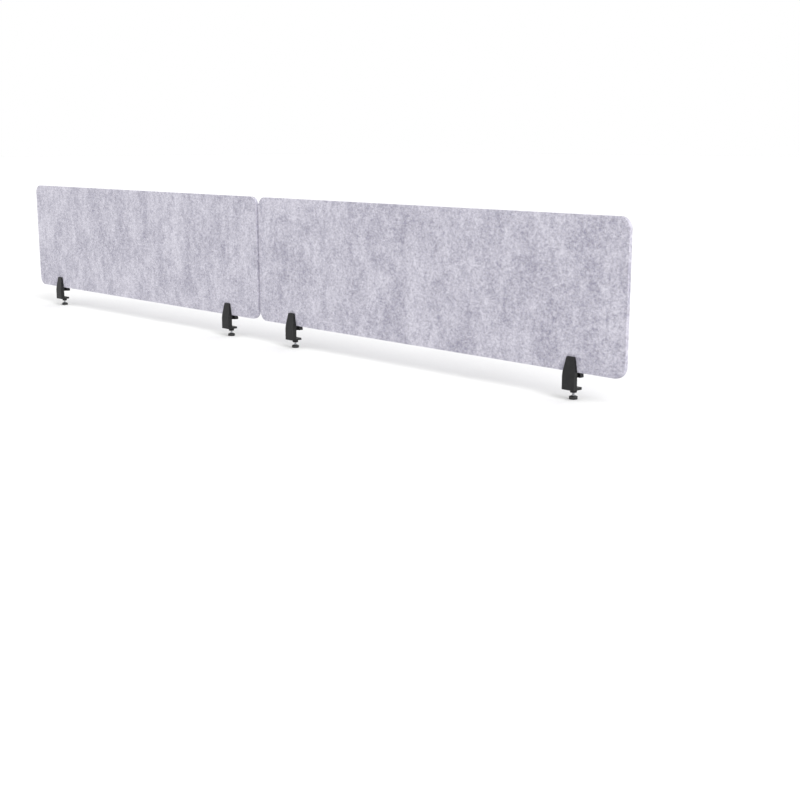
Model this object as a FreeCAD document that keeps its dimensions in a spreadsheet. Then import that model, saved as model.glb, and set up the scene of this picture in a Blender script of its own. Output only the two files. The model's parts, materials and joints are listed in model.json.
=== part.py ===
"""Desk privacy panel: a run of two felt boards held on a worktop's back edge by four screw clamps.

Frame, in millimetres: X runs along the worktop's back edge with 0 at the middle of the run, Y = 0 is the
edge itself with +Y over the worktop, and Z = 0 is the worktop's top surface.
Every clamp holds its board between a fixed tongue and a sliding front jaw, and holds the worktop between
a rubber foot and a pad that a thumb screw drives up from below.
"""
import FreeCAD, Part
import os
import re
import sys
import Sketcher

SIZES = {
    # the run
    "bay_length": 1500.0,
    "board_length": 1488.0,
    "board_height": 404.0,
    "board_thickness": 12.0,
    "board_corner": 32.0,
    "board_softening": 1.0,
    "board_lift": 16.0,
    "clamp_inset": 175.0,
    "worktop_thickness": 25.0,
    # the clamp's casting
    "clamp_width": 40.0,
    "plate_depth": 14.0,
    "lip_thickness": 6.3,
    "lip_reach": 22.6,
    "lip_corner": 4.0,
    "neck_width": 24.0,
    "neck_root": 1.0,
    "tongue_height": 40.0,
    "tongue_top_width": 25.6,
    "tongue_top_depth": 6.5,
    "lean_start": 5.0,
    "edge_round": 1.2,
    "tip_round": 2.5,
    # rubber
    "foot_rubber": 1.0,
    "foot_margin": 0.5,
    "grip_rubber": 1.0,
    "grip_margin": 3.0,
    # the sliding front jaw
    "jaw_depth": 15.0,
    "jaw_gap": 0.2,
    "jaw_clearance": 0.5,
    "jaw_travel": 5.0,
    # the jaw's cap screw, its insert and its guide pins
    "jaw_thread": 6.0,
    "cap_diameter": 10.0,
    "cap_height": 6.0,
    "cap_key": 5.0,
    "key_depth": 3.0,
    "cap_seat": 7.0,
    "jaw_shank": 20.0,
    "jaw_insert_diameter": 8.0,
    "jaw_insert_length": 9.0,
    "guide_diameter": 3.0,
    "guide_spread": 8.5,
    "guide_root": 10.0,
    "guide_engagement": 3.0,
    # the clamp screw under the worktop
    "screw_offset": 11.0,
    "clamp_thread": 8.0,
    "boss_diameter": 18.0,
    "boss_length": 8.5,
    "boss_round": 0.8,
    "insert_diameter": 12.0,
    "insert_length": 8.0,
    "pad_diameter": 19.0,
    "pad_rubber_diameter": 18.0,
    "pad_rubber": 1.2,
    "pad_thickness": 2.8,
    "pad_round": 0.4,
    "pad_socket": 1.5,
    "pad_clearance": 0.5,
    "pad_floor_gap": 0.3,
    "pad_travel": 7.0,
    "tip_diameter": 5.0,
    "knob_gap": 1.0,
    "knob_diameter": 23.0,
    "knob_height": 10.0,
    "knob_hub_diameter": 13.0,
    "knob_hub_height": 1.5,
    "knob_flutes": 10,
    "flute_diameter": 5.0,
    "knob_round": 0.8,
    # fits
    "thread_clearance": 0.05,
    "shank_clearance": 0.3,
    "pin_clearance": 0.08,
}

BOARDS = {"left_board": "-bay_length / 2", "right_board": "bay_length / 2"}
CLAMPS = {
    "left_end": "-bay_length + clamp_inset",
    "left_mid": "-clamp_inset",
    "right_mid": "clamp_inset",
    "right_end": "bay_length - clamp_inset",
}

# Formulas that several pieces share.
LIP_TOP = "-worktop_thickness"
LIP_UNDERSIDE = f"({LIP_TOP} - lip_thickness)"
BOSS_UNDERSIDE = f"({LIP_UNDERSIDE} - boss_length)"
TONGUE_TOP = "(board_lift + tongue_height)"
JAW_SCREW_LEVEL = "((board_lift + foot_rubber) / 2)"
JAW_INNER = "(board_thickness + jaw_gap)"
CAP_SEAT = f"({JAW_INNER} + cap_seat)"
GUIDE_REACH = "(jaw_travel + guide_engagement)"
PAD_UNDERSIDE = f"({LIP_TOP} - pad_rubber - pad_thickness)"
RECESS_FLOOR = f"({PAD_UNDERSIDE} - pad_floor_gap)"
INSERT_TOP = f"({BOSS_UNDERSIDE} + insert_length)"
KNOB_TOP = f"({BOSS_UNDERSIDE} - pad_travel - knob_gap)"

document = FreeCAD.newDocument("desk_privacy_panel")
sheet = document.addObject("Spreadsheet::Sheet", "dims")
subparts = []


def fill_sheet():
    """Write every driving dimension as one named cell."""
    for row, (name, value) in enumerate(SIZES.items(), start=1):
        sheet.set(f"A{row}", name)
        sheet.set(f"B{row}", str(value))
        sheet.setAlias(f"B{row}", name)
    document.recompute()


def cells(formula):
    """Turn the dimension names in a formula into references to the sheet."""
    return re.sub(r"[a-z_]+", lambda found: f"dims.{found[0]}" if found[0] in SIZES else found[0], formula)


def bind(item, prop, formula):
    item.setExpression(prop, cells(formula))


def start_body(label, place=("0", "0", "0"), turned_to_y=False):
    """A new sub-part, placed by three formulas; turned_to_y lays its own Z axis along +Y."""
    body = document.addObject("PartDesign::Body", label)
    body.Label = label
    if turned_to_y:
        body.Placement.Rotation = FreeCAD.Rotation(FreeCAD.Vector(1, 0, 0), -90)
    for axis, formula in zip("xyz", place):
        bind(body, f"Placement.Base.{axis}", formula)
    subparts.append(body)
    return body


def start_sketch(body, name, plane, shift=("0", "0", "0")):
    """A sketch on one of the body's own origin planes, shifted by formulas in the sketch's own axes."""
    sketch = body.newObject("Sketcher::SketchObject", name)
    support = next(item for item in body.Origin.OriginFeatures if item.Role == plane)
    sketch.AttachmentSupport = (support, [""])
    sketch.MapMode = "FlatFace"
    for axis, formula in zip("xyz", shift):
        bind(sketch, f"AttachmentOffset.Base.{axis}", formula)
    return sketch


def add_outline(sketch, corners):
    """A closed polygon whose corners are pairs of formulas, each held by two bound distances."""
    points = [
        FreeCAD.Vector(*(float(sketch.evalExpression(cells(part))) for part in corner), 0)
        for corner in corners
    ]
    first = sketch.GeometryCount
    count = len(points)
    for index in range(count):
        sketch.addGeometry(Part.LineSegment(points[index], points[(index + 1) % count]), False)
    for index in range(count):
        following = first + (index + 1) % count
        sketch.addConstraint(Sketcher.Constraint("Coincident", first + index, 2, following, 1))
    for index, corner in enumerate(corners):
        for direction, formula, value in zip(("DistanceX", "DistanceY"), corner, points[index]):
            added = sketch.addConstraint(Sketcher.Constraint(direction, -1, 1, first + index, 1, value))
            bind(sketch, f"Constraints[{added}]", formula)


def add_circle(sketch, centre, radius):
    """A circle whose centre and radius are formulas."""
    values = [float(sketch.evalExpression(cells(part))) for part in (*centre, radius)]
    middle = FreeCAD.Vector(values[0], values[1], 0)
    circle = sketch.addGeometry(Part.Circle(middle, FreeCAD.Vector(0, 0, 1), values[2]), False)
    for direction, formula, value in zip(("DistanceX", "DistanceY"), centre, values):
        added = sketch.addConstraint(Sketcher.Constraint(direction, -1, 1, circle, 3, value))
        bind(sketch, f"Constraints[{added}]", formula)
    added = sketch.addConstraint(Sketcher.Constraint("Radius", circle, values[2]))
    bind(sketch, f"Constraints[{added}]", radius)


def add_feature(body, kind, name, sketch, length, symmetric=False, flipped=False):
    """A pad or pocket of the sketch; one that leaves the volume as it was stops the build."""
    before = body.Shape.Volume if body.Tip else 0.0
    feature = body.newObject(f"PartDesign::{kind}", name)
    feature.Profile = sketch
    feature.Reversed = flipped
    bind(feature, "Length", length)
    if symmetric:
        feature.SideType = "Symmetric"
    settle(body, name, before)
    return feature


def settle(body, name, before):
    """Recompute, and stop if the feature added or cut nothing."""
    document.recompute()
    if abs(body.Shape.Volume - before) < 0.01:
        sys.exit(f"{body.Label}: {name} changed nothing")


def turn(body, kind, name, plane, axis, steps, shift=("0", "0", "0")):
    """A revolution or groove of a stepped profile; each step is a radius and where it starts and ends."""
    sketch = start_sketch(body, f"{name}_profile", plane, shift)
    across = [("0", steps[0][1])]
    for radius, start, end in steps:
        across += [(radius, start), (radius, end)]
    across.append(("0", steps[-1][2]))
    corners = across if axis == "V_Axis" else [(along, radius) for radius, along in across]
    add_outline(sketch, corners)
    before = body.Shape.Volume if body.Tip else 0.0
    feature = body.newObject(f"PartDesign::{kind}", name)
    feature.Profile = sketch
    feature.ReferenceAxis = (sketch, [axis])
    feature.Angle = 360.0
    settle(body, name, before)


def round_edges(body, name, radius, wanted):
    """Fillet the edges of the body's last feature that the test picks."""
    base = body.Tip
    picked = [f"Edge{index}" for index, edge in enumerate(base.Shape.Edges, start=1) if wanted(edge)]
    if not picked:
        sys.exit(f"{body.Label}: {name} found no edge")
    fillet = body.newObject("PartDesign::Fillet", name)
    fillet.Base = (base, picked)
    bind(fillet, "Radius", radius)
    document.recompute()


def value_of(formula):
    return float(sheet.evalExpression(cells(formula)))


def ends_on(edge, axis, level):
    """True if the whole edge lies at one level of an axis."""
    box = edge.BoundBox
    low, high = {"x": (box.XMin, box.XMax), "y": (box.YMin, box.YMax), "z": (box.ZMin, box.ZMax)}[axis]
    return abs(low - level) < 0.01 and abs(high - level) < 0.01


def make_board(label, middle):
    """One felt board: a rounded rectangle with softened edges, standing on the clamps' necks."""
    body = start_body(label, (middle, "0", "board_lift"))
    sketch = start_sketch(body, "board_outline", "XZ_Plane")
    add_outline(sketch, [
        ("-board_length / 2", "0"),
        ("board_length / 2", "0"),
        ("board_length / 2", "board_height"),
        ("-board_length / 2", "board_height"),
    ])
    add_feature(body, "Pad", "board_slab", sketch, "board_thickness", flipped=True)
    round_edges(body, "board_corners", "board_corner", lambda edge: edge.BoundBox.YLength > 1)
    faces = (0.0, SIZES["board_thickness"])
    round_edges(body, "softened_edges", "board_softening",
                lambda edge: any(ends_on(edge, "y", level) for level in faces))


def cut_tongue_sides(body):
    """Narrow a tongue evenly on both sides, from the clamp's width to its top width."""
    for side in ("-", ""):
        name = "left_taper" if side else "right_taper"
        sketch = start_sketch(body, f"{name}_outline", "XZ_Plane")
        add_outline(sketch, [
            (f"{side}clamp_width / 2", "board_lift"),
            (f"{side}clamp_width", "board_lift"),
            (f"{side}clamp_width", f"{TONGUE_TOP} + board_lift"),
            (f"{side}tongue_top_width / 2", f"{TONGUE_TOP} + board_lift"),
            (f"{side}tongue_top_width / 2", TONGUE_TOP),
        ])
        add_feature(body, "Pocket", name, sketch, "clamp_width * 4", symmetric=True)


def add_grip_outline(sketch):
    """The grip rubber's outline: the tongue's own taper, one margin in from its edges."""
    slope = "(clamp_width - tongue_top_width) / 2 / tongue_height"
    low = "(board_lift + grip_margin)"
    high = f"({TONGUE_TOP} - grip_margin)"
    low_half = f"(clamp_width / 2 - grip_margin * (1 + {slope}))"
    high_half = f"(tongue_top_width / 2 - grip_margin * (1 - {slope}))"
    add_outline(sketch, [
        (f"-{low_half}", low),
        (low_half, low),
        (high_half, high),
        (f"-{high_half}", high),
    ])


def make_clamp_body(name, station):
    """The casting: back plate and fixed tongue, neck over the worktop, lip and boss below it."""
    body = start_body(f"{name}_clamp_body", (station, "0", "0"))
    side = start_sketch(body, "side_profile", "YZ_Plane")
    add_outline(side, [
        ("-plate_depth", LIP_UNDERSIDE),
        ("lip_reach", LIP_UNDERSIDE),
        ("lip_reach", LIP_TOP),
        ("0", LIP_TOP),
        ("0", "0"),
        ("-jaw_gap", "0"),
        ("-jaw_gap", TONGUE_TOP),
        ("-tongue_top_depth", TONGUE_TOP),
        ("-plate_depth", "lean_start"),
    ])
    add_feature(body, "Pad", "plate_and_lip", side, "clamp_width", symmetric=True)
    cut_tongue_sides(body)
    round_edges(body, "tip_corners", "tip_round", is_tip_corner)
    round_edges(body, "lip_corners", "lip_corner", is_lip_corner)
    round_edges(body, "outer_edges", "edge_round", is_rear_rim)
    neck = start_sketch(body, "neck_profile", "YZ_Plane")
    add_outline(neck, [
        ("-neck_root", "foot_rubber"),
        ("board_thickness", "foot_rubber"),
        ("board_thickness", "board_lift"),
        ("-neck_root", "board_lift"),
    ])
    add_feature(body, "Pad", "neck", neck, "neck_width", symmetric=True)
    boss = start_sketch(body, "boss_outline", "XY_Plane", ("0", "0", LIP_UNDERSIDE))
    add_circle(boss, ("0", "screw_offset"), "boss_diameter / 2")
    add_feature(body, "Pad", "boss", boss, "boss_length", flipped=True)
    round_edges(body, "boss_rim", "boss_round", lambda edge: ends_on(edge, "z", value_of(BOSS_UNDERSIDE)))
    turn(body, "Groove", "screw_way", "YZ_Plane", "V_Axis", [
        ("insert_diameter / 2", BOSS_UNDERSIDE, INSERT_TOP),
        ("clamp_thread / 2 + shank_clearance", INSERT_TOP, RECESS_FLOOR),
        ("pad_diameter / 2 + pad_clearance", RECESS_FLOOR, LIP_TOP),
    ], shift=("screw_offset", "0", "0"))
    insert_floor = "(board_thickness - jaw_insert_length)"
    turn(body, "Groove", "jaw_insert_bore", "YZ_Plane", "H_Axis", [
        ("jaw_thread / 2 + shank_clearance", "-plate_depth / 2", insert_floor),
        ("jaw_insert_diameter / 2", insert_floor, "board_thickness"),
    ], shift=("0", JAW_SCREW_LEVEL, "0"))
    pins = start_sketch(body, "guide_pin_holes", "XZ_Plane", ("0", "0", "-board_thickness"))
    for side in ("-", ""):
        add_circle(pins, (f"{side}guide_spread", JAW_SCREW_LEVEL), "guide_diameter / 2")
    add_feature(body, "Pocket", "guide_pin_bores", pins, "guide_root", flipped=True)
    grip = start_sketch(body, "grip_outline", "XZ_Plane", ("0", "0", "jaw_gap"))
    add_grip_outline(grip)
    add_feature(body, "Pocket", "grip_recess", grip, "grip_rubber - jaw_gap", flipped=True)


def is_tip_corner(edge):
    """The two front-to-back corners at the top of a tongue."""
    return ends_on(edge, "z", value_of(TONGUE_TOP)) and edge.BoundBox.XLength < 0.01


def is_rear_rim(edge):
    """The rim of the back plate's outer face, upright and leaning parts alike."""
    box = edge.BoundBox
    at_back = box.YMax < -value_of("tongue_top_depth") + 0.01
    across_lean = ends_on(edge, "z", value_of("lean_start"))
    return at_back and not across_lean


def is_lip_corner(edge):
    """The two upright corners at the lip's free end."""
    return ends_on(edge, "y", value_of("lip_reach")) and edge.BoundBox.ZLength > 0.01


def make_front_jaw(name, station):
    """The sliding jaw: a foot over the worktop and a tongue against the board's front face."""
    body = start_body(f"{name}_front_jaw", (station, "0", "0"))
    outer = f"({JAW_INNER} + jaw_depth)"
    side = start_sketch(body, "side_profile", "YZ_Plane")
    add_outline(side, [
        (JAW_INNER, "jaw_clearance"),
        (outer, "jaw_clearance"),
        (outer, "lean_start"),
        (f"{JAW_INNER} + tongue_top_depth", TONGUE_TOP),
        (JAW_INNER, TONGUE_TOP),
    ])
    add_feature(body, "Pad", "foot_and_tongue", side, "clamp_width", symmetric=True)
    cut_tongue_sides(body)
    round_edges(body, "tip_corners", "tip_round", is_tip_corner)
    round_edges(body, "outer_edges", "edge_round", is_front_rim)
    turn(body, "Groove", "cap_screw_way", "YZ_Plane", "H_Axis", [
        ("jaw_thread / 2 + shank_clearance", JAW_INNER, CAP_SEAT),
        ("cap_diameter / 2 + shank_clearance", CAP_SEAT, f"{outer} + cap_seat"),
    ], shift=("0", JAW_SCREW_LEVEL, "0"))
    pins = start_sketch(body, "guide_pin_ways", "XZ_Plane", ("0", "0", f"-{JAW_INNER}"))
    for side in ("-", ""):
        add_circle(pins, (f"{side}guide_spread", JAW_SCREW_LEVEL), "guide_diameter / 2 + pin_clearance")
    add_feature(body, "Pocket", "guide_pin_bores", pins, f"{GUIDE_REACH} + jaw_clearance")
    grip = start_sketch(body, "grip_outline", "XZ_Plane", ("0", "0", f"-{JAW_INNER}"))
    add_grip_outline(grip)
    add_feature(body, "Pocket", "grip_recess", grip, "grip_rubber - jaw_gap")


def is_front_rim(edge):
    """The rim of the front jaw's outer face, apart from the bend where it starts to lean."""
    box = edge.BoundBox
    at_front = box.YMin > value_of(f"{JAW_INNER} + tongue_top_depth") - 0.01
    return at_front and not ends_on(edge, "z", value_of("lean_start"))


def make_grip_pad(label, station, front):
    """A thin rubber face that fills a tongue's recess and bears on the board."""
    body = start_body(label, (station, "board_thickness" if front else "0", "0"))
    sketch = start_sketch(body, "pad_outline", "XZ_Plane")
    add_grip_outline(sketch)
    add_feature(body, "Pad", "pad_sheet", sketch, "grip_rubber", flipped=front)


def make_foot_pad(name, station):
    """The rubber foot under the neck, standing on the worktop."""
    body = start_body(f"{name}_worktop_pad", (station, "0", "0"))
    half = "(neck_width / 2 - foot_margin)"
    sketch = start_sketch(body, "foot_outline", "XY_Plane")
    add_outline(sketch, [
        (f"-{half}", "foot_margin"),
        (half, "foot_margin"),
        (half, "board_thickness - foot_margin"),
        (f"-{half}", "board_thickness - foot_margin"),
    ])
    add_feature(body, "Pad", "foot_sheet", sketch, "foot_rubber")
    round_edges(body, "foot_corners", "foot_rubber", lambda edge: edge.BoundBox.ZLength > 0.01)


def make_jaw_screw(name, station):
    """Socket head cap screw; its own Z axis points out of the front jaw, with 0 under the head."""
    body = start_body(f"{name}_jaw_screw", (station, CAP_SEAT, JAW_SCREW_LEVEL), turned_to_y=True)
    turn(body, "Revolution", "head_and_shank", "XZ_Plane", "V_Axis", [
        ("jaw_thread / 2", "-jaw_shank", "0"),
        ("cap_diameter / 2", "0", "cap_height"),
    ])
    key = start_sketch(body, "key_outline", "XY_Plane", ("0", "0", "cap_height"))
    corner = "cap_key / 2 / cos(30 deg)"
    add_outline(key, [
        (f"{corner} * cos({angle} deg)", f"{corner} * sin({angle} deg)") for angle in range(0, 360, 60)
    ])
    add_feature(body, "Pocket", "key_socket", key, "key_depth")


def make_sleeve(label, place, outside, inside, length, turned_to_y=False):
    """A threaded insert, drawn at its thread's outer diameter."""
    body = start_body(label, place, turned_to_y)
    turn(body, "Revolution", "sleeve", "XZ_Plane", "V_Axis", [(outside, "0", length)])
    turn(body, "Groove", "thread_bore", "XZ_Plane", "V_Axis", [(inside, "0", length)])


def make_guide_pins(name, station):
    """Two dowels pressed into the neck, on which the front jaw slides."""
    body = start_body(f"{name}_guide_pins", (station, "board_thickness", JAW_SCREW_LEVEL), turned_to_y=True)
    sketch = start_sketch(body, "pin_outlines", "XY_Plane", ("0", "0", "-guide_root"))
    for side in ("-", ""):
        add_circle(sketch, (f"{side}guide_spread", "0"), "guide_diameter / 2")
    add_feature(body, "Pad", "pins", sketch, f"guide_root + {GUIDE_REACH}")


def make_clamp_screw(name, station):
    """Thumb screw's threaded rod, from inside the knob up to its narrower tip in the pad."""
    body = start_body(f"{name}_clamp_screw", (station, "screw_offset", "0"))
    shoulder = f"({PAD_UNDERSIDE} - pad_floor_gap)"
    turn(body, "Revolution", "rod_and_tip", "XZ_Plane", "V_Axis", [
        ("clamp_thread / 2", f"{KNOB_TOP} - knob_height + knob_hub_height", shoulder),
        ("tip_diameter / 2", shoulder, f"{PAD_UNDERSIDE} + pad_socket"),
    ])


def make_knob(name, station):
    """Fluted thumb knob; its own Z = 0 is the top of its hub."""
    body = start_body(f"{name}_thumb_knob", (station, "screw_offset", KNOB_TOP))
    turn(body, "Revolution", "grip_and_hub", "XZ_Plane", "V_Axis", [
        ("knob_diameter / 2", "-knob_height", "-knob_hub_height"),
        ("knob_hub_diameter / 2", "-knob_hub_height", "0"),
    ])
    flute = start_sketch(body, "flute_outline", "XY_Plane")
    add_circle(flute, ("knob_diameter / 2 + flute_diameter / 4", "0"), "flute_diameter / 2")
    cut = add_feature(body, "Pocket", "flute", flute, "knob_height * 3", symmetric=True)
    pattern = body.newObject("PartDesign::PolarPattern", "flutes")
    pattern.Originals = [cut]
    pattern.Axis = (next(item for item in body.Origin.OriginFeatures if item.Role == "Z_Axis"), [""])
    pattern.Angle = 360.0
    bind(pattern, "Occurrences", "knob_flutes")
    body.Tip = pattern
    document.recompute()
    levels = [value_of("-knob_height"), value_of("-knob_hub_height")]
    hub = value_of("knob_hub_diameter / 2") + 0.01
    round_edges(body, "knob_rims", "knob_round",
                lambda edge: any(ends_on(edge, "z", level) for level in levels)
                and max(abs(edge.BoundBox.XMin), abs(edge.BoundBox.XMax), abs(edge.BoundBox.YMin)) > hub)
    turn(body, "Groove", "rod_hole", "XZ_Plane", "V_Axis", [
        ("clamp_thread / 2", "-knob_height + knob_hub_height", "0"),
    ])


def make_pressure_pad(name, station):
    """The disc that presses the worktop from below, with the socket the screw's tip turns in."""
    body = start_body(f"{name}_pressure_pad", (station, "screw_offset", PAD_UNDERSIDE))
    turn(body, "Revolution", "disc", "XZ_Plane", "V_Axis", [("pad_diameter / 2", "0", "pad_thickness")])
    round_edges(body, "disc_rims", "pad_round", lambda edge: edge.BoundBox.ZLength < 0.01)
    turn(body, "Groove", "tip_socket", "XZ_Plane", "V_Axis", [
        ("tip_diameter / 2 + thread_clearance", "0", "pad_socket + thread_clearance"),
    ])


def make_pad_rubber(name, station):
    """The rubber face on the pressure pad."""
    body = start_body(f"{name}_pressure_pad_rubber", (station, "screw_offset", LIP_TOP))
    turn(body, "Revolution", "disc", "XZ_Plane", "V_Axis", [("pad_rubber_diameter / 2", "-pad_rubber", "0")])


def make_clamp(name, station):
    """All the pieces of one clamp, at one station along the worktop's edge."""
    make_clamp_body(name, station)
    make_front_jaw(name, station)
    make_grip_pad(f"{name}_rear_grip_pad", station, front=False)
    make_grip_pad(f"{name}_front_grip_pad", station, front=True)
    make_foot_pad(name, station)
    make_jaw_screw(name, station)
    jaw_insert_place = (station, "board_thickness - jaw_insert_length", JAW_SCREW_LEVEL)
    make_sleeve(f"{name}_jaw_screw_insert", jaw_insert_place,
                "jaw_insert_diameter / 2", "jaw_thread / 2 + thread_clearance", "jaw_insert_length", True)
    make_guide_pins(name, station)
    make_clamp_screw(name, station)
    make_sleeve(f"{name}_clamp_screw_insert", (station, "screw_offset", BOSS_UNDERSIDE),
                "insert_diameter / 2", "clamp_thread / 2 + thread_clearance", "insert_length")
    make_knob(name, station)
    make_pressure_pad(name, station)
    make_pad_rubber(name, station)


def check_and_write():
    """Stop on any failed object or shape, then write each sub-part to its own file."""
    document.recompute()
    for item in document.Objects:
        if {"Invalid", "Error"} & set(item.State):
            sys.exit(f"{item.Label} failed: {item.State}")
    os.makedirs("parts", exist_ok=True)
    for body in subparts:
        if body.Shape.isNull() or not body.Shape.isValid():
            sys.exit(f"{body.Label} has no valid shape")
        body.Shape.exportStep(f"parts/{body.Label}.step")
        box = body.Shape.BoundBox
        print(f"{body.Label}: {body.Shape.Volume:.1f} mm3, solids {len(body.Shape.Solids)},"
              f" {box.XLength:.2f} x {box.YLength:.2f} x {box.ZLength:.2f}")


fill_sheet()
for board, middle in BOARDS.items():
    make_board(board, middle)
for clamp, station in CLAMPS.items():
    make_clamp(clamp, station)
check_and_write()
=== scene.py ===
import json
import math

import bmesh
import bpy
from mathutils import Matrix, Vector, noise


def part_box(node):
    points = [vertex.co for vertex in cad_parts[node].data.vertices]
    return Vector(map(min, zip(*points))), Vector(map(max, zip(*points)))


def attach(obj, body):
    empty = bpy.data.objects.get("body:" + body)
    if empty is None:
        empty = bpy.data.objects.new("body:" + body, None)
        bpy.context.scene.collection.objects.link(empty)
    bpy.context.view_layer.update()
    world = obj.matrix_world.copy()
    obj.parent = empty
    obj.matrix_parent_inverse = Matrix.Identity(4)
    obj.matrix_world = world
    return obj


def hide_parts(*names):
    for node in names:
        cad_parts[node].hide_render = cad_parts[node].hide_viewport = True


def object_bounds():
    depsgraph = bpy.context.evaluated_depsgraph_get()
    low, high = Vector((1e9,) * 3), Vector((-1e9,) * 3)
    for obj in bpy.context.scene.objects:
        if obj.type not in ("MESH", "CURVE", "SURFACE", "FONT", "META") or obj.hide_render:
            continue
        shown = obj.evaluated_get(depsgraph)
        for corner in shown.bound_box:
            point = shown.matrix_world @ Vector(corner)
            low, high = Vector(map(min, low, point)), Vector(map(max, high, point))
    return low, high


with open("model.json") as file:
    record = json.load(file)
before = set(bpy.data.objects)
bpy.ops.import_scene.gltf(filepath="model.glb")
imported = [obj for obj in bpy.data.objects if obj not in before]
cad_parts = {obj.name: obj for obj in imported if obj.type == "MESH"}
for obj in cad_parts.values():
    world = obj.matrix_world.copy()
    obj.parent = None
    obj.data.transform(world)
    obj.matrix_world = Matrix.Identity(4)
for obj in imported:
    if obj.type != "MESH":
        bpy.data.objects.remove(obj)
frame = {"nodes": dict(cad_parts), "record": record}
cad_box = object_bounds()

MM = 0.001
CLAMPS = ("left_end", "left_mid", "right_mid", "right_end")
BOARDS = ("left_board", "right_board")


# ---------------------------------------------------------------- finishes

class Wire:
    """One socket of a finish's node tree; arithmetic on it adds Math nodes."""

    def __init__(self, finish, socket):
        self.finish = finish
        self.socket = socket

    def maths(self, operation, *values):
        return self.finish.node("ShaderNodeMath", {"operation": operation}, dict(enumerate((self, *values))))

    def __add__(self, other):
        return self.maths("ADD", other)

    def __sub__(self, other):
        return self.maths("SUBTRACT", other)

    def __rsub__(self, other):
        return self.maths("MULTIPLY_ADD", -1.0, other)

    def __mul__(self, other):
        return self.maths("MULTIPLY", other)

    def __truediv__(self, other):
        return self.maths("DIVIDE", other)

    __radd__ = __add__
    __rmul__ = __mul__

    def between(self, low, high):
        """0 below low, 1 above high, smooth in between."""
        return self.finish.node("ShaderNodeMapRange", {"interpolation_type": "SMOOTHSTEP"},
                                {"Value": self, "From Min": low, "From Max": high})

    def hairs(self, width):
        """Thin winding lines where the value passes through one half."""
        return 1 - self.maths("SUBTRACT", 0.5).maths("ABSOLUTE").between(0.0, width)


class Finish:
    """A material and its node tree."""

    def __init__(self, name):
        self.material = bpy.data.materials.new(name)
        self.material.use_nodes = True
        self.tree = self.material.node_tree
        self.shader = self.tree.nodes["Principled BSDF"]
        self.place = self.node("ShaderNodeTexCoord", {}, {}, "Object")

    def node(self, kind, settings, sockets, output=0):
        """Add a node: its settings first, then each socket's value or link."""
        made = self.tree.nodes.new(kind)
        for name, value in settings.items():
            setattr(made, name, value)
        for name, value in sockets.items():
            self.feed(made.inputs[name], value)
        return Wire(self, made.outputs[output])

    def feed(self, socket, value):
        if isinstance(value, Wire):
            self.tree.links.new(value.socket, socket)
        else:
            socket.default_value = value

    def noise(self, size, stretch=(1, 1, 1), detail=2.0, roughness=0.5, shift=0.0, distortion=0.0):
        """Noise whose features are about size metres, longer along an axis with a larger stretch.

        shift moves the pattern, so that two noises of one finish don't match.
        """
        scaled = self.node("ShaderNodeMapping", {}, {
            "Vector": self.place,
            "Location": (shift, shift, shift),
            "Scale": tuple(1.0 / (size * part) for part in stretch),
        })
        return self.node("ShaderNodeTexNoise", {}, {
            "Vector": scaled,
            "Scale": 1.0,
            "Detail": detail,
            "Roughness": roughness,
            "Distortion": distortion,
        })

    def fibres(self, length, width, angle, shift, bend=1.0):
        """Noise drawn out into winding fibres that lie in the XZ plane at an angle to X."""
        laid = self.node("ShaderNodeMapping", {"vector_type": "TEXTURE"}, {
            "Vector": self.place,
            "Location": (shift, shift, shift),
            "Rotation": (0.0, math.radians(angle), 0.0),
            "Scale": (length, width, width),
        })
        return self.node("ShaderNodeTexNoise", {}, {
            "Vector": laid, "Scale": 1.0, "Detail": 1.0, "Roughness": 0.5, "Distortion": bend,
        })

    def blend(self, factor, first, second):
        """A colour from first to second as factor goes from 0 to 1."""
        return self.node("ShaderNodeMix", {"data_type": "RGBA"}, {0: factor, 6: first, 7: second}, 2)

    def bump(self, height, distance, strength):
        sockets = {"Height": height, "Distance": distance, "Strength": strength}
        return self.node("ShaderNodeBump", {}, sockets)

    def set(self, **sockets):
        """Set the shader's own sockets; a name's underscores stand for spaces."""
        for name, value in sockets.items():
            self.feed(self.shader.inputs[name.replace("_", " ")], value)
        return self.material


FELT_PALE = (0.655, 0.638, 0.710, 1.0)
FELT_DARK_GREY = (0.226, 0.214, 0.264, 1.0)
FELT_DARK_LILAC = (0.211, 0.204, 0.294, 1.0)
FELT_PALENESS = 0.54


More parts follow.
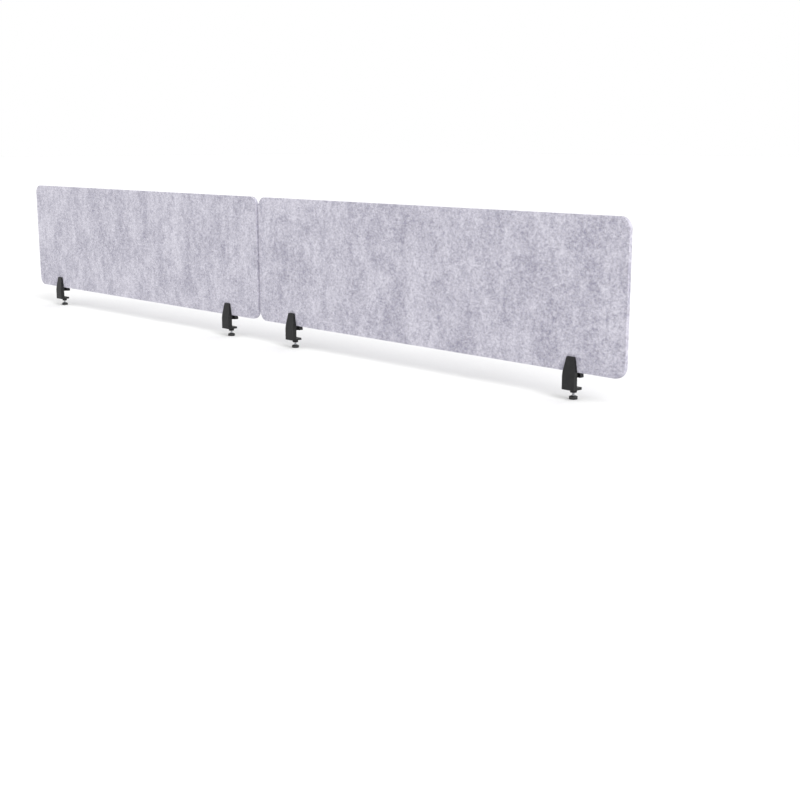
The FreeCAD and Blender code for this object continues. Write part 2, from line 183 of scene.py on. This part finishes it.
def felt_finish():
    """Pressed polyester felt: pale and dark fibres laid every way, thicker in some places than in others."""
    finish = Finish("felt")
    broad = finish.noise(300 * MM, (1, 1, 2), detail=1, shift=29.0)
    clouds = finish.noise(80 * MM, (1.1, 1, 1.9), detail=3, roughness=0.75)
    drift = finish.noise(22 * MM, (1.2, 1, 1.4), detail=3, roughness=0.85, shift=7.0)
    tufts = finish.noise(6 * MM, (1.6, 1, 1.15), detail=2, roughness=0.65, shift=3.0, distortion=0.4)
    clumps = (broad - 0.5) * 0.5 + (clouds - 0.5) * 1.9 + (drift - 0.5) * 2.0 + (tufts - 0.5) * 2.2
    lay = (finish.fibres(7 * MM, 0.50 * MM, 12, 1.0, bend=1.8)
           + finish.fibres(6 * MM, 0.45 * MM, 68, 2.0, bend=1.8)
           + finish.fibres(6 * MM, 0.50 * MM, 103, 4.0, bend=1.8)
           + finish.fibres(5 * MM, 0.45 * MM, -37, 3.0, bend=1.8)) / 4
    pale_hairs = finish.fibres(9 * MM, 1.9 * MM, 31, 5.0, bend=2.6).hairs(0.040)
    dark_hairs = finish.fibres(9 * MM, 2.0 * MM, -64, 6.0, bend=2.6).hairs(0.035)
    fibre = (lay - 0.5) * 6.5 + pale_hairs * 0.45 - dark_hairs * 0.50
    tint = finish.noise(7 * MM, detail=2, shift=31.0).between(0.3, 0.7)
    dark = finish.blend(tint, FELT_DARK_GREY, FELT_DARK_LILAC)
    colour = finish.blend((clumps + fibre + FELT_PALENESS).between(-0.6, 1.6), dark, FELT_PALE)
    height = tufts * 0.3 + lay * 0.5 + pale_hairs * 0.2
    return finish.set(
        Base_Color=colour,
        Roughness=0.95,
        Specular_IOR_Level=0.15,
        Sheen_Weight=0.25,
        Sheen_Roughness=0.6,
        Normal=finish.bump(height, 0.5 * MM, 0.7),
    )


def powder_coat_finish():
    """Fine black powder coat: an even satin skin with a fine orange peel."""
    finish = Finish("powder_coat")
    peel = finish.noise(0.9 * MM, detail=3, roughness=0.6)
    patches = finish.noise(12 * MM, detail=3, roughness=0.6, shift=5.0)
    colour = finish.blend(patches.between(0.3, 0.7), (0.010, 0.010, 0.0105, 1), (0.015, 0.015, 0.0155, 1))
    return finish.set(
        Base_Color=colour,
        Roughness=patches * 0.12 + 0.40,
        Specular_IOR_Level=0.25,
        Normal=finish.bump(peel, 0.3 * MM, 0.8),
    )


def rubber_finish():
    """Matt black rubber with a fine grain."""
    finish = Finish("rubber")
    grain = finish.noise(0.8 * MM, detail=3, roughness=0.6)
    bloom = finish.noise(6 * MM, detail=2, shift=2.0)
    colour = finish.blend(bloom.between(0.35, 0.7), (0.012, 0.012, 0.012, 1), (0.022, 0.021, 0.021, 1))
    return finish.set(
        Base_Color=colour,
        Roughness=bloom * 0.15 + 0.7,
        Normal=finish.bump(grain, 0.1 * MM, 0.5),
    )


def metal_finish(name, dark, light, smooth, rough):
    """Turned or plated metal with fine marks; its roughness drifts between smooth and rough."""
    finish = Finish(name)
    marks = finish.noise(0.7 * MM, detail=3, roughness=0.7)
    stain = finish.noise(5 * MM, detail=3, shift=4.0)
    return finish.set(
        Base_Color=finish.blend(stain.between(0.3, 0.7), dark, light),
        Metallic=1.0,
        Roughness=stain * (rough - smooth) + smooth,
        Normal=finish.bump(marks, 0.03 * MM, 0.4),
    )


def nylon_finish():
    """Moulded black nylon with a fine spark-eroded texture."""
    finish = Finish("knob_nylon")
    grain = finish.noise(0.5 * MM, detail=2)
    flow = finish.noise(9 * MM, detail=2, shift=6.0)
    return finish.set(
        Base_Color=finish.blend(flow.between(0.3, 0.7), (0.014, 0.014, 0.015, 1), (0.021, 0.021, 0.022, 1)),
        Roughness=flow * 0.1 + 0.5,
        Normal=finish.bump(grain, 0.08 * MM, 0.5),
    )


FINISHES = {
    "felt": felt_finish(),
    "clamp_paint": powder_coat_finish(),
    "rubber": rubber_finish(),
    "black_steel": metal_finish("black_oxide", (0.035, 0.035, 0.037, 1), (0.06, 0.06, 0.062, 1), 0.3, 0.5),
    "zinc_steel": metal_finish("zinc_plate", (0.50, 0.51, 0.54, 1), (0.66, 0.67, 0.69, 1), 0.22, 0.42),
    "brass": metal_finish("brass", (0.62, 0.42, 0.16, 1), (0.78, 0.57, 0.26, 1), 0.25, 0.45),
    "knob_plastic": nylon_finish(),
}


# ---------------------------------------------------------------- making pieces

def new_piece(name, mesh_data, slot, body, node):
    """Finish a mesh as a piece that stands for a CAD node and moves with its body."""
    mesh_data.normal_update()
    bmesh.ops.recalc_face_normals(mesh_data, faces=mesh_data.faces)
    mesh = bpy.data.meshes.new(name)
    mesh_data.to_mesh(mesh)
    mesh_data.free()
    mesh.materials.append(FINISHES[slot])
    for face in mesh.polygons:
        face.use_smooth = True
    piece = bpy.data.objects.new(name, mesh)
    bpy.context.scene.collection.objects.link(piece)
    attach(piece, body)
    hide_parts(node)
    return piece


SHARP_ANGLE = math.radians(40)


def soften(piece, width):
    """Round a piece's sharp edges a little."""
    bevel = piece.modifiers.new("soft_edges", "BEVEL")
    bevel.width = width
    bevel.segments = 2
    bevel.limit_method = "ANGLE"
    bevel.angle_limit = SHARP_ANGLE
    bevel.harden_normals = True


def join_rings(work, rings, closed=False):
    """Skin a list of vertex rings with quads."""
    count = len(rings[0])
    pairs = list(zip(rings, rings[1:]))
    if closed:
        pairs.append((rings[-1], rings[0]))
    for lower, upper in pairs:
        for index in range(count):
            after = (index + 1) % count
            work.faces.new((lower[index], lower[after], upper[after], upper[index]))


def lathe(stations, steps, placed, sleeve=False):
    """A turned shape: each station is a height and a radius, or a function from an angle to a radius.

    A sleeve's last station joins its first; any other shape is closed by its first and last rings.
    """
    work = bmesh.new()
    rings = []
    for height, reach in stations:
        ring = []
        for step in range(steps):
            angle = math.tau * step / steps
            radius = reach(angle) if callable(reach) else reach
            point = Vector((radius * math.cos(angle), radius * math.sin(angle), height))
            ring.append(work.verts.new(placed @ point))
        rings.append(ring)
    join_rings(work, rings, closed=sleeve)
    if not sleeve:
        work.faces.new(rings[0])
        work.faces.new(rings[-1])
    return work


def axis_of(node, along="z"):
    """A frame on a round node's axis: its own Z runs along the axis, from the node's lowest end."""
    low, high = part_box(node)
    middle = (low + high) / 2
    if along == "z":
        return Matrix.Translation((middle.x, middle.y, low.z))
    return Matrix.Translation((middle.x, low.y, middle.z)) @ Matrix.Rotation(math.radians(-90), 4, "X")


def length_of(node, axis):
    low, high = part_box(node)
    return high[axis] - low[axis]


# ---------------------------------------------------------------- felt boards

EDGE_ROUND = 1.0 * MM
CORNER = 32 * MM
FELT_GRID = 6 * MM
CORNER_STEPS = 10
ROUND_STEPS = 4
FLAT_STEPS = 4
FACE_WAVE = 0.22 * MM
FACE_WAVES_PER_METRE = 35
EDGE_WAVE = 0.30 * MM
EDGE_WAVES_PER_METRE = 220


def row_levels(height, corner):
    """Levels of the grid's rows: close together round the corners, even in between."""
    arc = [corner * (1 - math.cos(math.pi / 2 * step / CORNER_STEPS)) for step in range(CORNER_STEPS + 1)]
    rows = round((height - 2 * corner) / FELT_GRID)
    middle = [corner + (height - 2 * corner) * row / rows for row in range(1, rows)]
    return arc + middle + [height - level for level in reversed(arc)]


def half_width(level, length, height, corner):
    """Half the rounded rectangle's width at a level above its bottom."""
    depth = max(corner - level, level - (height - corner), 0.0)
    return length / 2 - corner + math.sqrt(max(corner * corner - depth * depth, 0.0))


def rim_of(grid):
    """The grid's outer vertices, once round."""
    rows = len(grid)
    columns = len(grid[0])
    bottom = [grid[0][column] for column in range(columns)]
    right = [grid[row][-1] for row in range(1, rows)]
    top = [grid[-1][column] for column in range(columns - 2, -1, -1)]
    left = [grid[row][0] for row in range(rows - 2, 0, -1)]
    return bottom + right + top + left


def outward(point, middle, length, height, corner):
    """Direction out of the rounded rectangle, in its own plane, at a point of its rim."""
    across = point.x - middle.x
    up = point.z - middle.z
    inner_x = length / 2 - corner
    inner_z = height / 2 - corner
    way = Vector((
        math.copysign(max(abs(across) - inner_x, 0.0), across),
        0.0,
        math.copysign(max(abs(up) - inner_z, 0.0), up),
    ))
    return way.normalized()


def unevenness(point, rate, octaves):
    """Smooth variation from 0 to 1 over the felt."""
    value = noise.fractal(point * rate, 1.0, 2.0, octaves)
    return min(max(0.5 + 0.5 * value, 0.0), 1.0)


def felt_face(work, low, length, height, corner, depth, inward):
    """One broad face as a grid that sinks a little, unevenly, into the board."""
    grid = []
    columns = round(length / FELT_GRID)
    for level in row_levels(height, corner):
        half = half_width(level, length, height, corner)
        row = []
        for column in range(columns + 1):
            across = half * (2 * column / columns - 1)
            point = Vector((low.x + length / 2 + across, depth, low.z + level))
            point.y += inward * FACE_WAVE * unevenness(point, FACE_WAVES_PER_METRE, 3)
            row.append(work.verts.new(point))
        grid.append(row)
    for lower, upper in zip(grid, grid[1:]):
        for column in range(columns):
            work.faces.new((lower[column], lower[column + 1], upper[column + 1], upper[column]))
    return rim_of(grid)


def felt_board(node):
    """A felt board with rounded corners, softened rims and the slight unevenness of pressed fibre."""
    low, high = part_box(node)
    thickness = high.y - low.y
    inset = Vector((EDGE_ROUND, 0.0, EDGE_ROUND))
    length = high.x - low.x - 2 * EDGE_ROUND
    height = high.z - low.z - 2 * EDGE_ROUND
    corner = CORNER - EDGE_ROUND
    middle = (low + high) / 2
    work = bmesh.new()
    start = low + inset
    rear = felt_face(work, start, length, height, corner, low.y, 1.0)
    front = felt_face(work, start, length, height, corner, high.y, -1.0)
    rings = [rear]
    turns = [math.pi / 2 * step / ROUND_STEPS for step in range(1, ROUND_STEPS + 1)]
    bends = [(math.sin(turn), EDGE_ROUND * (1 - math.cos(turn))) for turn in turns]
    flat = thickness - 2 * EDGE_ROUND
    flats = [(1.0, EDGE_ROUND + flat * part / FLAT_STEPS) for part in range(1, FLAT_STEPS)]
    profile = bends + flats + [(out, thickness - depth) for out, depth in reversed(bends)]
    for out, depth in profile:
        ring = []
        for vertex in rear:
            way = outward(vertex.co, middle, length, height, corner)
            point = Vector((vertex.co.x, low.y + depth, vertex.co.z)) + way * EDGE_ROUND * out
            point -= way * EDGE_WAVE * out * unevenness(point, EDGE_WAVES_PER_METRE, 2)
            ring.append(work.verts.new(point))
        rings.append(ring)
    rings.append(front)
    join_rings(work, rings)
    return new_piece(f"{node}_felt", work, "felt", "frame", node)


# ---------------------------------------------------------------- clamp hardware

CAST_ROUND = 0.35 * MM
SAME_POINT = 0.001 * MM
CLAMP_THREAD = 4 * MM
CLAMP_PITCH = 1.25 * MM
CLAMP_THREAD_DEPTH = 0.68 * MM
JAW_THREAD = 3 * MM
JAW_PITCH = 1.0 * MM
JAW_THREAD_DEPTH = 0.55 * MM
BORE_CLEARANCE = 0.05 * MM
STATIONS_PER_TURN = 8
KNOB_FLUTES = 10
FLUTE_DEPTH = 1.5 * MM
FOOT_RIB_PITCH = 2 * MM
GRIP_RIB_PITCH = 2.5 * MM
GROOVE_DEPTH = 0.4 * MM
RUBBER_ROUND = 0.12 * MM
TONGUE_ROOT_WIDTH = 40 * MM
TONGUE_TIP_WIDTH = 25.6 * MM
TONGUE_HEIGHT = 40 * MM


def thread(radius, pitch, depth, height):
    """Radius round a screw thread at one height: sharp flanks with flat crests and roots."""
    def reach(angle):
        phase = (height / pitch - angle / math.tau) % 1.0
        from_crest = abs(2 * phase - 1)
        return radius - depth * min(max((from_crest - 0.2) / 0.6, 0.0), 1.0)
    return reach


def thread_stations(start, end, radius, pitch, depth):
    """Stations of a thread from start to end."""
    count = math.ceil((end - start) / pitch * STATIONS_PER_TURN)
    heights = [start + (end - start) * step / count for step in range(count + 1)]
    return [(height, thread(radius, pitch, depth, height)) for height in heights]


def thumb_rod(clamp):
    """The clamp screw: M8 thread with a chamfered shoulder and the plain tip that turns in the pad."""
    node = f"{clamp}_clamp_screw"
    length = length_of(node, 2)
    shoulder = length - 1.8 * MM
    core = 3.3 * MM
    tip = 2.5 * MM
    chamfer = 0.3 * MM
    stations = thread_stations(0.0, shoulder - 2 * chamfer, CLAMP_THREAD, CLAMP_PITCH, CLAMP_THREAD_DEPTH)
    stations += [
        (shoulder - chamfer, core),
        (shoulder, core - chamfer),
        (shoulder, tip),
        (length - chamfer, tip),
        (length, tip - chamfer),
    ]
    work = lathe(stations, 32, axis_of(node))
    return new_piece(f"{clamp}_thumb_rod", work, "zinc_steel", f"{clamp}_thumb_screw", node)


def hexagon(across_flats):
    """Radius round a hexagonal socket."""
    def reach(angle):
        turned = (angle + math.pi / 6) % (math.pi / 3) - math.pi / 6
        return across_flats / 2 / math.cos(turned)
    return reach


def knurl(radius, depth, teeth):
    """Radius round a knurled rim."""
    def reach(angle):
        return radius - depth * (0.5 + 0.5 * math.cos(teeth * angle))
    return reach


def cap_screw(clamp):
    """The jaw screw: M6 socket head cap screw with a knurled head and a hexagonal socket."""
    node = f"{clamp}_jaw_screw"
    length = length_of(node, 1)
    head = length - 6 * MM
    runout = 0.6 * MM
    rim = 5 * MM
    grip = knurl(rim, depth=0.22 * MM, teeth=36)
    collar = rim - 0.25 * MM
    chamfer = 0.4 * MM
    socket = hexagon(5 * MM)
    socket_floor = length - 3 * MM
    stations = [(0.0, 2.3 * MM)]
    stations += thread_stations(runout, head - runout, JAW_THREAD, JAW_PITCH, JAW_THREAD_DEPTH)
    stations += [
        (head, JAW_THREAD),
        (head, rim - chamfer),
        (head + chamfer, grip),
        (length - 1.2 * MM, grip),
        (length - 1.0 * MM, collar),
        (length - 0.5 * MM, collar),
        (length, rim - 2 * chamfer),
        (length, lambda angle: socket(angle) + chamfer),
        (length - chamfer, socket),
        (socket_floor, socket),
        (socket_floor - 0.8 * MM, 0.3 * MM),
    ]
    work = lathe(stations, 144, axis_of(node, "y"))
    return new_piece(f"{clamp}_cap_screw", work, "black_steel", f"{clamp}_jaw_bolt", node)


def flute(radius, depth, count):
    """Radius round a knob with smooth finger flutes."""
    def reach(angle):
        wave = 0.5 + 0.5 * math.cos(count * angle)
        return radius - depth * wave ** 3
    return reach


def knob(clamp):
    """The thumb knob: ten smooth flutes, rounded rims, a raised hub and a dished underside."""
    node = f"{clamp}_thumb_knob"
    low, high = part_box(node)
    height = high.z - low.z
    radius = (high.y - low.y) / 2
    grip_top = height - 1.5 * MM
    hub = 6.5 * MM
    dish_depth = 1.2 * MM
    insets = ((0.0, 1.6 * MM), (0.4 * MM, 0.6 * MM), (1.4 * MM, 0.0))
    rim = [(level, flute(radius - inset, FLUTE_DEPTH, KNOB_FLUTES)) for level, inset in insets]
    stations = [(dish_depth, 0.5 * MM), (dish_depth, 6.0 * MM), (0.0, 7.2 * MM)]
    stations += rim
    stations += [(grip_top - level, reach) for level, reach in reversed(rim)]
    stations += [
        (grip_top, hub + 0.4 * MM),
        (grip_top + 0.3 * MM, hub),
        (height - 0.3 * MM, hub),
        (height, hub - 0.4 * MM),
        (height, CLAMP_THREAD),
        (height - 0.6 * MM, 3.9 * MM),
    ]
    work = lathe(stations, 160, axis_of(node))
    return new_piece(f"{clamp}_knob", work, "knob_plastic", f"{clamp}_thumb_screw", node)


def insert(clamp, name, along, thread_radius):
    """A brass thread insert: two knurled bands and a plain groove between them."""
    node = f"{clamp}_{name}"
    low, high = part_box(node)
    radius = (high.x - low.x) / 2
    length = length_of(node, 1 if along == "y" else 2)
    bore = thread_radius + BORE_CLEARANCE
    band = knurl(radius, depth=0.25 * MM, teeth=40)
    groove = radius - 0.6 * MM
    chamfer = 0.4 * MM
    stations = [
        (0.0, bore + chamfer),
        (0.0, radius - chamfer),
        (chamfer, band),
        (0.4 * length, band),
        (0.45 * length, groove),
        (0.55 * length, groove),
        (0.6 * length, band),
        (length - chamfer, band),
        (length, radius - chamfer),
        (length, bore + chamfer),
        (length - chamfer, bore),
        (chamfer, bore),
    ]
    work = lathe(stations, 160, axis_of(node, along), sleeve=True)
    return new_piece(f"{clamp}_{name}_knurled", work, "brass", "frame", node)


def pad_rubber(clamp):
    """The pressure pad's rubber face, with moulded rings."""
    node = f"{clamp}_pressure_pad_rubber"
    low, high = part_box(node)
    height = high.z - low.z
    radius = (high.x - low.x) / 2
    chamfer = 0.2 * MM
    groove_width = 1.0 * MM
    flank = 0.3 * MM
    stations = [(0.0, radius), (height - chamfer, radius), (height, radius - chamfer)]
    for ring in (7.5 * MM, 5.0 * MM, 2.5 * MM):
        stations += [
            (height, ring),
            (height - GROOVE_DEPTH, ring - flank),
            (height - GROOVE_DEPTH, ring - groove_width + flank),
            (height, ring - groove_width),
        ]
    work = lathe(stations, 64, axis_of(node))
    return new_piece(f"{clamp}_pad_rubber_rings", work, "rubber", f"{clamp}_pad", node)


def ribbed_pad(name, node, body, stations, place):
    """A rubber pad with ribs. Each station is a distance along, a half width and the pad's depth there."""
    work = bmesh.new()
    rings = []
    for along, half, depth in stations:
        corners = ((-half, 0.0), (-half, depth), (half, depth), (half, 0.0))
        rings.append([work.verts.new(place(along, across, out)) for across, out in corners])
    join_rings(work, rings)
    work.faces.new(rings[0])
    work.faces.new(rings[-1])
    piece = new_piece(name, work, "rubber", body, node)
    soften(piece, RUBBER_ROUND)
    return piece


def rib_stations(length, thickness, pitch, half_at):
    """Stations of evenly pitched ribs with sloping flanks; half_at gives the half width at a place along."""
    flank = 0.25 * MM
    margin = 1 * MM
    count = int((length - 2 * margin) / pitch)
    first = (length - (count - 1) * pitch) / 2
    levels = [(0.0, thickness)]
    for index in range(count):
        middle = first + index * pitch
        levels += [
            (middle - 2 * flank, thickness),
            (middle - flank, thickness - GROOVE_DEPTH),
            (middle + flank, thickness - GROOVE_DEPTH),
            (middle + 2 * flank, thickness),
        ]
    levels.append((length, thickness))
    return [(along, half_at(along), depth) for along, depth in levels]


def foot_pad(clamp):
    """The rubber foot under the neck, ribbed where it stands on the worktop."""
    node = f"{clamp}_worktop_pad"
    low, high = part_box(node)
    half = (high.x - low.x) / 2
    middle = (low.x + high.x) / 2
    stations = rib_stations(high.y - low.y, high.z - low.z, FOOT_RIB_PITCH, lambda along: half)

    def place(along, across, out):
        return Vector((middle + across, low.y + along, high.z - out))

    return ribbed_pad(f"{clamp}_foot_ribs", node, "frame", stations, place)


def grip_pad(clamp, side, body):
    """A tongue's rubber face, ribbed towards the board and tapering upwards like the tongue."""
    node = f"{clamp}_{side}_grip_pad"
    low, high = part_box(node)
    middle = (low.x + high.x) / 2
    wide = (high.x - low.x) / 2
    taper = (TONGUE_ROOT_WIDTH - TONGUE_TIP_WIDTH) / 2 / TONGUE_HEIGHT
    height = high.z - low.z
    back, towards = (high.y, -1) if side == "front" else (low.y, 1)

    def half_at(along):
        return wide - taper * along

    def place(along, across, out):
        return Vector((middle + across, back + towards * out, low.z + along))

    stations = rib_stations(height, high.y - low.y, GRIP_RIB_PITCH, half_at)
    return ribbed_pad(f"{clamp}_{side}_grip_ribs", node, body, stations, place)


def finish_cad_nodes():
    """Give every carried-over CAD node the finish of its slot, and the castings softened edges."""
    slots = {part["node"]: part["material_slot"] for part in frame["record"]["subparts"]}
    for name, item in frame["nodes"].items():
        item.data.materials.clear()
        item.data.materials.append(FINISHES[slots[name]])
        if slots[name] == "clamp_paint":
            item.modifiers.new("joined_corners", "WELD").merge_threshold = SAME_POINT
            soften(item, CAST_ROUND)


def clamp_hardware(clamp):
    """All the detailed pieces of one clamp."""
    thumb_rod(clamp)
    cap_screw(clamp)
    knob(clamp)
    insert(clamp, "jaw_screw_insert", "y", JAW_THREAD)
    insert(clamp, "clamp_screw_insert", "z", CLAMP_THREAD)
    pad_rubber(clamp)
    foot_pad(clamp)
    grip_pad(clamp, "rear", "frame")
    grip_pad(clamp, "front", f"{clamp}_jaw")


finish_cad_nodes()
for board in BOARDS:
    felt_board(board)
for clamp in CLAMPS:
    clamp_hardware(clamp)


# ---------------------------------------------------------------- floor, light and camera

FLOOR_REACH = 40.0
KEY_DIRECTION = (0.76, -0.19, 0.62)
CAMERA_PLACE = (3.36506, -2.53673, 0.60331)
CAMERA_YAW = 46.62
CAMERA_PITCH = -11.60
FOCAL_LENGTH = 57.09


def make_floor():
    """A plain pale floor that the object stands on."""
    finish = Finish("floor")
    grain = finish.noise(0.4, detail=2)
    colour = finish.blend(grain.between(0.3, 0.7), (0.80, 0.80, 0.80, 1), (0.82, 0.82, 0.82, 1))
    finish.set(Base_Color=colour, Roughness=0.9, Specular_IOR_Level=0.1)
    mesh = bpy.data.meshes.new("floor")
    level = cad_box[0].z
    signs = ((-1, -1), (1, -1), (1, 1), (-1, 1))
    corners = [(across * FLOOR_REACH, along * FLOOR_REACH, level) for across, along in signs]
    mesh.from_pydata(corners, [], [(0, 1, 2, 3)])
    mesh.materials.append(finish.material)
    floor = bpy.data.objects.new("floor", mesh)
    bpy.context.scene.collection.objects.link(floor)


def make_light():
    """A white room and one large soft light from the right and above."""
    world = bpy.data.worlds.new("studio")
    world.use_nodes = True
    background = world.node_tree.nodes["Background"]
    background.inputs["Color"].default_value = (1, 1, 1, 1)
    background.inputs["Strength"].default_value = 1.0
    bpy.context.scene.world = world
    lamp = bpy.data.lights.new("key", "SUN")
    lamp.energy = 2.0
    lamp.angle = math.radians(35)
    key = bpy.data.objects.new("key", lamp)
    key.rotation_euler = Vector(KEY_DIRECTION).to_track_quat("Z", "Y").to_euler()
    bpy.context.scene.collection.objects.link(key)


def make_camera():
    """Looks along the run from beyond its right end, slightly from above."""
    lens = bpy.data.cameras.new("camera")
    lens.sensor_width = 36.0
    lens.lens = FOCAL_LENGTH
    lens.clip_end = 200.0
    camera = bpy.data.objects.new("camera", lens)
    camera.location = CAMERA_PLACE
    camera.rotation_euler = (math.radians(90 + CAMERA_PITCH), 0.0, math.radians(CAMERA_YAW))
    bpy.context.scene.collection.objects.link(camera)
    bpy.context.scene.camera = camera


make_floor()
make_light()
make_camera()
bpy.context.scene.view_settings.view_transform = "Standard"
